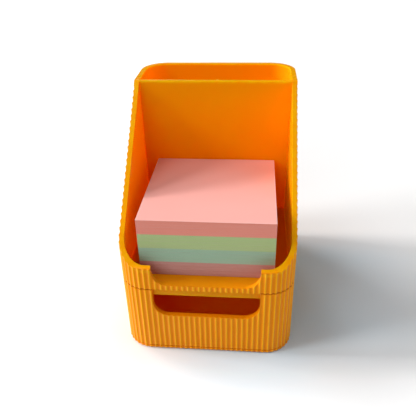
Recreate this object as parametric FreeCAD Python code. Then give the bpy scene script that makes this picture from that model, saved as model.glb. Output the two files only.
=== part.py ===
import FreeCAD, Part
import math
import os

# Memo pad holder with a pen slot behind and a drawer below.
# Millimetres. +Z is up, the front faces -Y, and the origin is on the standing surface,
# under the middle of the body.

# Driving dimensions of the body
BODY_WIDTH = 99.4
BODY_DEPTH = 126.8
BODY_HEIGHT = 136.7
CORNER_RADIUS = 15.9
WALL = 3.1
FOOT_STAND = 0.7

# Flutes of the outside: narrow ribs and wider hollows, side by side round the outline.
# Each is drawn with five flats, through shares of the pitch and of the depth from a rib's crest.
FLUTE_PITCH = 3.03
FLUTE_DEPTH = 0.6
FLUTE_SHARES = ((0.07, 0.0), (0.29, 0.74), (0.5, 1.0), (0.71, 0.74), (0.93, 0.0))
FLUTE_SHIFT = 0.6
TOP_BAND = 2.0

# Storeys, measured up from the underside of the base plate
BASE_EDGE = 1.4
BASE_LAND = 0.3
SEAM_HEIGHT = 45.2
FLOOR_THICKNESS = 3.0
LIP_RISE = 11.1

# Memo compartment from the front wall to the divider, and the divider before the pen slot
MEMO_DEPTH = 84.0
DIVIDER_THICKNESS = 1.6
GATE_RADIUS = 0.8
GATE_HEIGHT = 3.0
GATE_OFFSET = 1.6

# Rim: it falls in a straight slope from the divider to the front lip
SLOPE_FOOT_INSET = 2.4
SLOPE_TOP_RADIUS = 2.0
SLOPE_FOOT_RADIUS = 3.0
RIM_OUTER_EASE = 0.8

# Finger notches in the front lip and in the drawer front, kept clear of the body's corners
NOTCH_MARGIN = 3.55
NOTCH_RADIUS = 9.0
LIP_CORNER_RADIUS = 1.6
DRAWER_NOTCH_DEPTH = 18.6
NOTCH_EASE = 0.8

# Rail that hangs from the floor just behind the drawer front
RAIL_GAP = 0.4
RAIL_THICKNESS = 1.8
RAIL_DEPTH = 6.3

# Drawer
DRAWER_GAP = 0.4
TRAY_WALL = 1.8
TRAY_FLOOR = 1.8
TRAY_GAP = 0.5
TRAY_WALL_DROP = 2.1
TRAY_BACK_DROP = 7.7
LUG_LENGTH = 5.5
LUG_THICKNESS = 2.4
LUG_HEIGHT = 13.0
DRAWER_TRAVEL = 78.0

# Base plate
PLATE_RIM_GAP = 0.2
PLATE_RIM_THICKNESS = 1.4
PLATE_RIM_HEIGHT = 5.0
PLATE_RIM_START = 3.0
LAND_INSET = 1.8
RUNNER_HEIGHT = 0.8
RUNNER_WIDTH = 2.4
RUNNER_INSET = 19.7
RUNNER_END = 6.0
SNAP_RADIUS = 0.5
SNAP_REACH = 0.4
SNAP_LENGTH = 10.0
SNAP_CLEARANCE = 0.15
SNAP_LEVEL = 3.4
SNAP_INSET = 15.5

# Feet: foam discs let into the base plate
FOOT_DIAMETER = 10.0
FOOT_RECESS = 0.6
FOOT_INSET = 15.5
FOOT_CLEARANCE = 0.1

# Memo pads, counted up from the compartment's floor
SHEET_SIZE = 76.0
BLOCK_HEIGHT = 9.07
STACK_BACK_GAP = 0.8
BLOCK_NAMES = ("memo_block_rose", "memo_block_blue", "memo_block_green", "memo_block_pink")

# One overrun serves all cuts that leave a face, and one closeness finds edges by their place
OVERRUN = 5.0
CLOSENESS = 0.01

HALF_WIDTH = BODY_WIDTH / 2
HALF_DEPTH = BODY_DEPTH / 2
BASE_TOP = BASE_EDGE + BASE_LAND
STRAIGHT_HALF = HALF_WIDTH - CORNER_RADIUS
CORNER_START = -HALF_DEPTH + CORNER_RADIUS
DIVIDER_FRONT = -HALF_DEPTH + WALL + MEMO_DEPTH
DIVIDER_BACK = DIVIDER_FRONT + DIVIDER_THICKNESS
FLOOR_TOP = SEAM_HEIGHT + FLOOR_THICKNESS
LIP_HEIGHT = FLOOR_TOP + LIP_RISE
DRAWER_TOP = SEAM_HEIGHT - DRAWER_GAP
DRAWER_NOTCH_BOTTOM = DRAWER_TOP - DRAWER_NOTCH_DEPTH
NOTCH_HALF = STRAIGHT_HALF - NOTCH_MARGIN
TRAY_INSET = WALL + PLATE_RIM_GAP + PLATE_RIM_THICKNESS + TRAY_GAP


def at_height(shape):
    """Lifts a shape made from the base plate's underside onto its feet."""
    shape.translate(FreeCAD.Vector(0, 0, FOOT_STAND))
    return shape


def box(x0, x1, y0, y1, z0, z1):
    """A block between two corners."""
    corner = FreeCAD.Vector(x0, y0, z0)
    return Part.makeBox(x1 - x0, y1 - y0, z1 - z0, corner)


def outline_wire(inset):
    """Rounded rectangle of the plan, drawn in from the rib crests by the inset."""
    x = HALF_WIDTH - inset
    y = HALF_DEPTH - inset
    r = CORNER_RADIUS - inset
    diagonal = r * math.sqrt(0.5)
    edges = []
    for sx, sy in ((1, -1), (1, 1), (-1, 1), (-1, -1)):
        centre_x = sx * (x - r)
        centre_y = sy * (y - r)
        beside = FreeCAD.Vector(sx * x, centre_y, 0)
        ahead = FreeCAD.Vector(centre_x, sy * y, 0)
        middle = FreeCAD.Vector(centre_x + sx * diagonal, centre_y + sy * diagonal, 0)
        ends = (ahead, beside) if sx * sy < 0 else (beside, ahead)
        arc = Part.Arc(ends[0], middle, ends[1]).toShape()
        if edges:
            edges.append(Part.LineSegment(last_point, ends[0]).toShape())
        else:
            first_point = ends[0]
        edges.append(arc)
        last_point = ends[1]
    edges.append(Part.LineSegment(last_point, first_point).toShape())
    return Part.Wire(edges)


def outline_prism(inset, z0, z1):
    """The plan outline, drawn in by the inset, as a solid between two heights."""
    face = Part.Face(outline_wire(inset))
    face.translate(FreeCAD.Vector(0, 0, z0))
    return face.extrude(FreeCAD.Vector(0, 0, z1 - z0))


def outline_length():
    """Length of the plan outline at the rib crests."""
    straights = 2 * (BODY_WIDTH - 2 * CORNER_RADIUS) + 2 * (BODY_DEPTH - 2 * CORNER_RADIUS)
    return straights + 2 * math.pi * CORNER_RADIUS


def outline_point(distance, depth):
    """Point at a distance along the outline from the front's middle, sunk in by the depth."""
    front = BODY_WIDTH - 2 * CORNER_RADIUS
    side = BODY_DEPTH - 2 * CORNER_RADIUS
    bend = math.pi * CORNER_RADIUS / 2
    rest = (distance + front / 2) % outline_length()
    angle = 0.0
    corner_x = -front / 2
    corner_y = -side / 2
    for straight in (front, side, front, side):
        along = FreeCAD.Vector(math.cos(angle), math.sin(angle), 0)
        out = FreeCAD.Vector(math.sin(angle), -math.cos(angle), 0)
        corner = FreeCAD.Vector(corner_x, corner_y, 0)
        if rest <= straight:
            return corner + along * rest + out * (CORNER_RADIUS - depth)
        rest -= straight
        corner = corner + along * straight
        if rest <= bend:
            turned = angle + rest / CORNER_RADIUS
            radial = FreeCAD.Vector(math.sin(turned), -math.cos(turned), 0)
            return corner + radial * (CORNER_RADIUS - depth)
        rest -= bend
        angle += math.pi / 2
        corner_x = corner.x
        corner_y = corner.y
    return corner + out * (CORNER_RADIUS - depth)


def fluted_prism(z0, z1):
    """The plan outline with its flutes, as a solid between two heights."""
    count = round(outline_length() / FLUTE_PITCH)
    pitch = outline_length() / count
    points = []
    for number in range(count):
        crest = number * pitch - FLUTE_SHIFT
        for along_share, depth_share in FLUTE_SHARES:
            points.append(outline_point(crest + along_share * pitch, depth_share * FLUTE_DEPTH))
    face = Part.Face(Part.makePolygon(points + points[:1]))
    face.translate(FreeCAD.Vector(0, 0, z0))
    return face.extrude(FreeCAD.Vector(0, 0, z1 - z0))


def rim_side_face():
    """Side view of the body above the seam: the level top, the slope and the level lip."""
    top_y = DIVIDER_FRONT + DIVIDER_THICKNESS / 2
    foot_y = -HALF_DEPTH + SLOPE_FOOT_INSET
    angle = math.atan2(BODY_HEIGHT - LIP_HEIGHT, top_y - foot_y)
    top_back = SLOPE_TOP_RADIUS * math.tan(angle / 2)
    foot_back = SLOPE_FOOT_RADIUS * math.tan(angle / 2)
    half = angle / 2

    def point(y, z):
        return FreeCAD.Vector(0, y, z)

    top_level = point(top_y + top_back, BODY_HEIGHT)
    top_bend = point(top_y + top_back - SLOPE_TOP_RADIUS * math.sin(half),
                     BODY_HEIGHT - SLOPE_TOP_RADIUS * (1 - math.cos(half)))
    top_slope = point(top_y - top_back * math.cos(angle), BODY_HEIGHT - top_back * math.sin(angle))
    foot_slope = point(foot_y + foot_back * math.cos(angle), LIP_HEIGHT + foot_back * math.sin(angle))
    foot_bend = point(foot_y - foot_back + SLOPE_FOOT_RADIUS * math.sin(half),
                      LIP_HEIGHT + SLOPE_FOOT_RADIUS * (1 - math.cos(half)))
    foot_level = point(foot_y - foot_back, LIP_HEIGHT)
    front_top = point(-HALF_DEPTH - OVERRUN, LIP_HEIGHT)
    front_low = point(-HALF_DEPTH - OVERRUN, 0)
    back_low = point(HALF_DEPTH + OVERRUN, 0)
    back_top = point(HALF_DEPTH + OVERRUN, BODY_HEIGHT)
    edges = [
        Part.LineSegment(back_top, top_level).toShape(),
        Part.Arc(top_level, top_bend, top_slope).toShape(),
        Part.LineSegment(top_slope, foot_slope).toShape(),
        Part.Arc(foot_slope, foot_bend, foot_level).toShape(),
        Part.LineSegment(foot_level, front_top).toShape(),
        Part.LineSegment(front_top, front_low).toShape(),
        Part.LineSegment(front_low, back_low).toShape(),
        Part.LineSegment(back_low, back_top).toShape(),
    ]
    return Part.Face(Part.Wire(edges))


def rim_side_prism():
    """The side view as a solid that is wider than the body."""
    face = rim_side_face()
    half = HALF_WIDTH + OVERRUN
    face.translate(FreeCAD.Vector(-half, 0, 0))
    return face.extrude(FreeCAD.Vector(2 * half, 0, 0))


def notch_prism(bottom, top):
    """Finger notch through the front wall, with rounded lower corners."""
    y0 = -HALF_DEPTH - OVERRUN
    lift = NOTCH_RADIUS * (1 - math.sqrt(0.5))

    def point(x, z):
        return FreeCAD.Vector(x, y0, z)

    low_right = point(NOTCH_HALF - NOTCH_RADIUS, bottom)
    right = point(NOTCH_HALF, bottom + NOTCH_RADIUS)
    right_top = point(NOTCH_HALF, top + OVERRUN)
    left_top = point(-NOTCH_HALF, top + OVERRUN)
    left = point(-NOTCH_HALF, bottom + NOTCH_RADIUS)
    low_left = point(-NOTCH_HALF + NOTCH_RADIUS, bottom)
    edges = [
        Part.LineSegment(low_left, low_right).toShape(),
        Part.Arc(low_right, point(NOTCH_HALF - lift, bottom + lift), right).toShape(),
        Part.LineSegment(right, right_top).toShape(),
        Part.LineSegment(right_top, left_top).toShape(),
        Part.LineSegment(left_top, left).toShape(),
        Part.Arc(left, point(-NOTCH_HALF + lift, bottom + lift), low_left).toShape(),
    ]
    face = Part.Face(Part.Wire(edges))
    return face.extrude(FreeCAD.Vector(0, OVERRUN + WALL + FLUTE_DEPTH, 0))


def is_upright(edge):
    """True for an edge that runs straight up."""
    return edge.BoundBox.XLength + edge.BoundBox.YLength < CLOSENESS


def lies_on_outline(edge, inset):
    """True for an edge that lies on the outline drawn in by the inset."""
    middle = edge.valueAt((edge.FirstParameter + edge.LastParameter) / 2)
    side = abs(middle.x) - STRAIGHT_HALF
    ahead = abs(middle.y) - (HALF_DEPTH - CORNER_RADIUS)
    outside = math.hypot(max(side, 0), max(ahead, 0)) + min(max(side, ahead), 0)
    return abs(outside - (CORNER_RADIUS - inset)) < CLOSENESS


def housing_shell():
    """Outer walls, floor and divider, before the flutes."""
    shell = outline_prism(0, BASE_TOP, BODY_HEIGHT).common(rim_side_prism())
    memo = outline_prism(WALL, FLOOR_TOP, BODY_HEIGHT + OVERRUN)
    half = HALF_WIDTH + OVERRUN
    top = BODY_HEIGHT + OVERRUN
    memo_side = box(-half, half, -HALF_DEPTH - OVERRUN, DIVIDER_FRONT, FLOOR_TOP, top)
    pen_side = box(-half, half, DIVIDER_BACK, HALF_DEPTH + OVERRUN, FLOOR_TOP, top)
    shell = shell.cut(memo.common(memo_side)).cut(memo.common(pen_side))
    shell = shell.cut(outline_prism(WALL, 0, SEAM_HEIGHT))
    front_low = box(-half, half, -HALF_DEPTH - OVERRUN, CORNER_START + DRAWER_GAP, 0, SEAM_HEIGHT)
    shell = shell.cut(front_low)
    shell = shell.cut(notch_prism(FLOOR_TOP, LIP_HEIGHT))
    return shell.makeFillet(LIP_CORNER_RADIUS, lip_corners(shell))


def lip_corners(shell):
    """The two edges through the wall where the notch meets the lip."""
    chosen = []
    for edge in shell.Edges:
        centre = edge.BoundBox.Center
        at_side = abs(abs(centre.x) - NOTCH_HALF) < CLOSENESS
        at_lip = edge.BoundBox.ZLength < CLOSENESS and abs(centre.z - LIP_HEIGHT) < CLOSENESS
        if at_side and at_lip and centre.y < CORNER_START:
            chosen.append(edge)
    return chosen


def rim_edges(shell, inset):
    """Edges of the rim and the notch that lie on the outline drawn in by the inset."""
    chosen = []
    for edge in shell.Edges:
        above_floor = edge.BoundBox.ZMax > FLOOR_TOP + CLOSENESS
        in_notch = edge.BoundBox.Center.y < CORNER_START and not is_upright(edge)
        in_notch = in_notch or abs(abs(edge.BoundBox.Center.x) - NOTCH_HALF) < CLOSENESS
        if lies_on_outline(edge, inset) and edge.BoundBox.ZMin > FLOOR_TOP - CLOSENESS:
            if in_notch or (above_floor and not is_upright(edge)):
                chosen.append(edge)
    return chosen


def eased_rim(shell):
    """Eases the outer edge all along the rim, round the corners and through the notch."""
    return shell.makeChamfer(RIM_OUTER_EASE, rim_edges(shell, 0))


def stop_rail():
    """Rail under the front of the floor, which the drawer's lugs meet when it is out."""
    bottom = SEAM_HEIGHT - RAIL_DEPTH
    back = -HALF_DEPTH + WALL + RAIL_GAP + RAIL_THICKNESS
    bar = box(-HALF_WIDTH, HALF_WIDTH, -HALF_DEPTH, back, bottom, SEAM_HEIGHT)
    return bar.common(outline_prism(WALL + RAIL_GAP, bottom, SEAM_HEIGHT))


def gate_mark():
    """Half-round moulding gate behind the divider's top edge."""
    foot = FreeCAD.Vector(GATE_OFFSET, DIVIDER_BACK, BODY_HEIGHT - GATE_HEIGHT)
    return Part.makeCylinder(GATE_RADIUS, GATE_HEIGHT, foot)


def snap_bars(radius, length, inset):
    """Half-round snap bars along the inside of the skirt, two on each side."""
    bars = []
    for side in (-1, 1):
        for end in (-1, 1):
            x = side * (HALF_WIDTH - inset)
            y = end * (HALF_DEPTH - CORNER_RADIUS - SNAP_INSET) - length / 2
            foot = FreeCAD.Vector(x, y, BASE_TOP + SNAP_LEVEL)
            bars.append(Part.makeCylinder(radius, length, foot, FreeCAD.Vector(0, 1, 0)))
    return bars


def make_housing():
    """Fluted body in one moulding: compartment, pen slot, divider, floor and drawer bay."""
    shell = eased_rim(housing_shell())
    flutes = fluted_prism(0, BODY_HEIGHT - TOP_BAND)
    band = outline_prism(0, BODY_HEIGHT - TOP_BAND, BODY_HEIGHT + OVERRUN)
    lower = shell.common(flutes)
    upper = shell.common(band)
    body = lower.fuse([upper, stop_rail(), gate_mark()])
    slot_inset = WALL + PLATE_RIM_GAP + SNAP_RADIUS - SNAP_REACH
    slots = snap_bars(SNAP_RADIUS + SNAP_CLEARANCE, SNAP_LENGTH + 2 * SNAP_CLEARANCE, slot_inset)
    return at_height(body.cut(slots).removeSplitter())


def make_base_plate():
    """Fluted plate under the body, with a locating rim, snap bars and drawer runners."""
    plate = fluted_prism(0, BASE_EDGE)
    half = HALF_WIDTH + OVERRUN
    inside_front = -HALF_DEPTH + WALL + DRAWER_GAP
    land = outline_prism(LAND_INSET, BASE_EDGE, BASE_TOP)
    land = land.common(box(-half, half, inside_front, HALF_DEPTH, BASE_EDGE, BASE_TOP))
    wing_gap = box(-half, half, -HALF_DEPTH, CORNER_START + DRAWER_GAP, BASE_EDGE, BASE_TOP)
    land = land.cut(wing_gap.cut(outline_prism(WALL + DRAWER_GAP, BASE_EDGE, BASE_TOP)))
    rim_inset = WALL + PLATE_RIM_GAP
    rim = outline_prism(rim_inset, BASE_TOP, BASE_TOP + PLATE_RIM_HEIGHT)
    rim = rim.cut(outline_prism(rim_inset + PLATE_RIM_THICKNESS, BASE_TOP, BASE_TOP + PLATE_RIM_HEIGHT))
    rim_start = CORNER_START + PLATE_RIM_START
    rim = rim.common(box(-half, half, rim_start, HALF_DEPTH, BASE_TOP, BASE_TOP + PLATE_RIM_HEIGHT))
    runners = []
    for side in (-1, 1):
        x = side * (HALF_WIDTH - RUNNER_INSET)
        runners.append(box(x - RUNNER_WIDTH / 2, x + RUNNER_WIDTH / 2, inside_front + RUNNER_END,
                           HALF_DEPTH - RUNNER_END, BASE_TOP, BASE_TOP + RUNNER_HEIGHT))
    bars = snap_bars(SNAP_RADIUS, SNAP_LENGTH, rim_inset + SNAP_RADIUS - SNAP_REACH)
    plate = plate.fuse([land, rim] + runners + bars)
    for x, y in foot_places():
        foot = FreeCAD.Vector(x, y, 0)
        plate = plate.cut(Part.makeCylinder(FOOT_DIAMETER / 2 + FOOT_CLEARANCE, FOOT_RECESS, foot))
    return at_height(plate.removeSplitter())


def foot_places():
    """Middles of the four feet, one in each corner."""
    x = HALF_WIDTH - FOOT_INSET
    y = HALF_DEPTH - FOOT_INSET
    return ((-x, -y), (x, -y), (-x, y), (x, y))


def make_foot(x, y):
    """Foam disc that fills its recess and stands proud of the base plate."""
    return Part.makeCylinder(FOOT_DIAMETER / 2, FOOT_STAND + FOOT_RECESS, FreeCAD.Vector(x, y, 0))


def drawer_front():
    """Drawer front before its flutes: it wraps both front corners and has the finger notch."""
    bottom = BASE_EDGE + DRAWER_GAP
    half = HALF_WIDTH + OVERRUN
    front = outline_prism(0, bottom, DRAWER_TOP)
    front = front.cut(outline_prism(WALL, bottom, DRAWER_TOP))
    front = front.common(box(-half, half, -HALF_DEPTH, CORNER_START, bottom, DRAWER_TOP))
    front = front.cut(notch_prism(DRAWER_NOTCH_BOTTOM, DRAWER_TOP))
    chosen = []
    for edge in front.Edges:
        in_notch = abs(edge.BoundBox.Center.x) < NOTCH_HALF + CLOSENESS
        if lies_on_outline(edge, 0) and in_notch and edge.BoundBox.ZMin > bottom + CLOSENESS:
            chosen.append(edge)
    return front.makeChamfer(NOTCH_EASE, chosen)


def tray_prism(inset, front_inset, bottom, top):
    """Plan of the tray: its sides and back have one inset, and it runs on into the drawer front."""
    half = HALF_WIDTH - inset
    ahead = box(-half, half, -HALF_DEPTH, 0, bottom, top)
    ahead = ahead.common(outline_prism(front_inset, bottom, top))
    return outline_prism(inset, bottom, top).fuse(ahead).removeSplitter()


def drawer_tray():
    """Open tray behind the front, with a lower back wall and two stop lugs."""
    bottom = BASE_TOP + RUNNER_HEIGHT
    top = DRAWER_TOP - TRAY_WALL_DROP + DRAWER_GAP
    floor = bottom + TRAY_FLOOR
    tray = tray_prism(TRAY_INSET, WALL - TRAY_WALL / 2, bottom, top)
    tray = tray.cut(tray_prism(TRAY_INSET + TRAY_WALL, WALL, floor, top + OVERRUN))
    back = HALF_DEPTH - TRAY_INSET - TRAY_WALL
    back_top = top - TRAY_BACK_DROP
    tray = tray.cut(box(-STRAIGHT_HALF, STRAIGHT_HALF, back, HALF_DEPTH, back_top, top + OVERRUN))
    inner = HALF_WIDTH - TRAY_INSET - TRAY_WALL
    rail_back = -HALF_DEPTH + WALL + RAIL_GAP + RAIL_THICKNESS
    lug_front = rail_back + DRAWER_TRAVEL + DRAWER_GAP
    for side in (-1, 1):
        reach = sorted((side * inner, side * (inner - LUG_LENGTH)))
        lug = box(reach[0], reach[1], lug_front, lug_front + LUG_THICKNESS, top - LUG_HEIGHT, top)
        tray = tray.fuse(lug)
    return tray


def make_drawer():
    """Drawer in one moulding: fluted front with the notch, and the tray behind it."""
    front = drawer_front().common(fluted_prism(0, SEAM_HEIGHT))
    notch = notch_prism(DRAWER_NOTCH_BOTTOM, DRAWER_TOP)
    drawer = front.fuse(drawer_tray().cut(notch))
    return at_height(drawer.removeSplitter())


def make_block(level):
    """One memo pad of the stack, counted up from the compartment's floor."""
    back = DIVIDER_FRONT - STACK_BACK_GAP
    low = FLOOR_TOP + level * BLOCK_HEIGHT
    half = SHEET_SIZE / 2
    block = box(-half, half, back - SHEET_SIZE, back, low, low + BLOCK_HEIGHT)
    return at_height(block)


def export(shape, name):
    """Writes one piece."""
    shape.exportStep("parts/" + name + ".step")
    print(name, "solids", len(shape.Solids), "volume", round(shape.Volume), "valid", shape.isValid())


os.makedirs("parts", exist_ok=True)
export(make_housing(), "housing")
export(make_base_plate(), "base_plate")
export(make_drawer(), "drawer")
for level, block_name in enumerate(BLOCK_NAMES):
    export(make_block(level), block_name)
corner_names = ("front_left", "front_right", "back_left", "back_right")
for corner_name, (foot_x, foot_y) in zip(corner_names, foot_places()):
    export(make_foot(foot_x, foot_y), "foot_" + corner_name)
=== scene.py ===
"""Looks of a fluted memo pad holder with a pen slot behind and a drawer below."""
from __future__ import annotations

import logging
import math
import random
from dataclasses import dataclass
from enum import Enum
from typing import Callable, Iterable, Sequence

import bmesh
import bpy
from mathutils import Matrix, Vector

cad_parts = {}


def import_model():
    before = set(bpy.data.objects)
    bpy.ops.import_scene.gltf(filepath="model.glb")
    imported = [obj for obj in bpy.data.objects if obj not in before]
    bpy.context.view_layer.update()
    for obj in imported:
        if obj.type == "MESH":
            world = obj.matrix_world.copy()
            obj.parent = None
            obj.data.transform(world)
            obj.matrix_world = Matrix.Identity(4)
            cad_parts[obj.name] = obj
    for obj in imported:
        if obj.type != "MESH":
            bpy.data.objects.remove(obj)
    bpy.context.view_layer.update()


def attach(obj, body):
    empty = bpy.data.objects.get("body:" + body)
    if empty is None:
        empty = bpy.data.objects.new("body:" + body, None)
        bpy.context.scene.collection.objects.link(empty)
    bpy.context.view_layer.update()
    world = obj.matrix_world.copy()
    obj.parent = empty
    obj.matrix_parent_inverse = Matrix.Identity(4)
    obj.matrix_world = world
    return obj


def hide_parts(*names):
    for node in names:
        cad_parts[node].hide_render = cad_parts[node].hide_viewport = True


LOG = logging.getLogger("holder")
MM = 0.001
# In mm: half the width and half the depth of cutting blocks, their top, and how far others reach out
CLEAR_X = 60.0
CLEAR_Y = 70.0
CLEAR_Z = 150.0
BEYOND = 5.0
# In mm: places that count as one, points that count as on an outline, and where the front wall ends
CLOSE = 0.01
ON_LINE = 0.02
FRONT_WALL = -50.0
# Half the width of the finger notches in the lip and in the drawer's front, in mm
NOTCH_HALF = 30.25
Colour = tuple[float, float, float]
Point = tuple[float, float, float]
Flat = tuple[float, float]


class Sock:
    """A shader socket that takes part in Python arithmetic."""

    def __init__(self, graph: Graph, socket: bpy.types.NodeSocket) -> None:
        """Keeps the socket and the graph that it belongs to."""
        self.graph = graph
        self.socket = socket

    def maths(self, operation: str, *others: float | Sock, flip: bool = False) -> Sock:
        """Adds a Math node on this value.

        Args:
            operation: the Math node's operation.
            others: the further values, numbers or sockets.
            flip: puts the first of the others before this value.

        Returns:
            The node's result.
        """
        values = [self, *others]
        if flip:
            values = [others[0], self]
        inputs = dict(enumerate(values))
        return self.graph.node("ShaderNodeMath", {"operation": operation}, inputs)

    def __add__(self, other: float | Sock) -> Sock:
        """This value plus another."""
        return self.maths("ADD", other)

    __radd__ = __add__

    def __sub__(self, other: float | Sock) -> Sock:
        """This value less another."""
        return self.maths("SUBTRACT", other)

    def __rsub__(self, other: float | Sock) -> Sock:
        """Another value less this one."""
        return self.maths("SUBTRACT", other, flip=True)

    def __mul__(self, other: float | Sock) -> Sock:
        """This value times another."""
        return self.maths("MULTIPLY", other)

    __rmul__ = __mul__

    def __abs__(self) -> Sock:
        """This value without its sign."""
        return self.maths("ABSOLUTE")

    def limit(self) -> Sock:
        """Clamps the node that gives this value, which is a Math node."""
        self.socket.node.use_clamp = True
        return self

    def smooth(self, low: float, high: float) -> Sock:
        """A soft step from 0 at low to 1 at high.

        Args:
            low: value at which the step starts.
            high: value at which it is complete.

        Returns:
            The stepped value.
        """
        settings = {"interpolation_type": "SMOOTHSTEP"}
        inputs = {"Value": self, "From Min": low, "From Max": high}
        return self.graph.node("ShaderNodeMapRange", settings, inputs)

    def highest(self, other: float | Sock) -> Sock:
        """The higher of this value and another."""
        return self.maths("MAXIMUM", other)

    def lowest(self, other: float | Sock) -> Sock:
        """The lower of this value and another."""
        return self.maths("MINIMUM", other)


@dataclass(frozen=True)
class Noise:
    """A noise: blotches per metre, octaves, share of the fine octaves, and scale along each axis."""

    scale: float
    detail: float = 2.0
    rough: float = 0.5
    stretch: Point = (1.0, 1.0, 1.0)


class Graph:
    """The node tree of one material or of the world."""

    def __init__(self, tree: bpy.types.NodeTree) -> None:
        """Empties the tree."""
        self.tree = tree
        tree.nodes.clear()

    def node(self, kind: str, settings: dict | None = None, inputs: dict | None = None,
             out: str | int = 0) -> Sock:
        """Adds a node.

        Args:
            kind: the node's type.
            settings: its properties.
            inputs: values or links by socket name or number.
            out: name or number of the output that is wanted.

        Returns:
            That output, or the first input where the node has no outputs.
        """
        made = self.tree.nodes.new(kind)
        for name, value in (settings or {}).items():
            setattr(made, name, value)
        for name, value in (inputs or {}).items():
            if isinstance(value, Sock):
                self.tree.links.new(value.socket, made.inputs[name])
            else:
                made.inputs[name].default_value = value
        return Sock(self, made.outputs[out]) if made.outputs else Sock(self, made.inputs[0])

    def mix(self, factor: float | Sock, low: Colour | Sock, high: Colour | Sock) -> Sock:
        """Mixes two colours.

        Args:
            factor: share of the second colour.
            low: colour at 0.
            high: colour at 1.

        Returns:
            The mixed colour.
        """
        first, second = (c if isinstance(c, Sock) else (*c, 1.0) for c in (low, high))
        return self.node("ShaderNodeMix", {"data_type": "RGBA"}, {0: factor, 6: first, 7: second}, out=2)

    def place(self) -> Sock:
        """Coordinates of the piece, in metres."""
        return self.node("ShaderNodeTexCoord", out="Object")

    def axes(self) -> tuple[Sock, Sock, Sock]:
        """The piece's coordinates one by one, in millimetres.

        Returns:
            Across, along and up.
        """
        parts = self.node("ShaderNodeSeparateXYZ", inputs={0: self.place()})
        outputs = parts.socket.node.outputs
        return tuple(Sock(self, outputs[i]) * (1.0 / MM) for i in range(3))

    def noise(self, kind: Noise) -> Sock:
        """Noise fixed to the piece, between 0 and 1.

        Args:
            kind: the noise's settings.

        Returns:
            The noise.
        """
        spread = self.node("ShaderNodeMapping", inputs={"Vector": self.place(), "Scale": kind.stretch})
        return self.node("ShaderNodeTexNoise", inputs={
            "Vector": spread, "Scale": kind.scale, "Detail": kind.detail, "Roughness": kind.rough})

    def bump(self, height: Sock, distance: float, strength: float) -> Sock:
        """Relief from a height between 0 and 1.

        Args:
            height: the height.
            distance: metres from its lowest to its highest.
            strength: share of the relief.

        Returns:
            The bent normal.
        """
        return self.node("ShaderNodeBump", inputs={"Height": height, "Distance": distance,
                                                   "Strength": strength})

    def surface(self, shader: Sock) -> None:
        """Ends a material's tree in a shader."""
        self.node("ShaderNodeOutputMaterial", inputs={"Surface": shader})


def new_material(name: str) -> tuple[bpy.types.Material, Graph]:
    """Makes an empty material and its graph.

    Args:
        name: the material's name.

    Returns:
        The material and its graph.
    """
    material = bpy.data.materials.new(name)
    material.use_nodes = True
    return material, Graph(material.node_tree)


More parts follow.
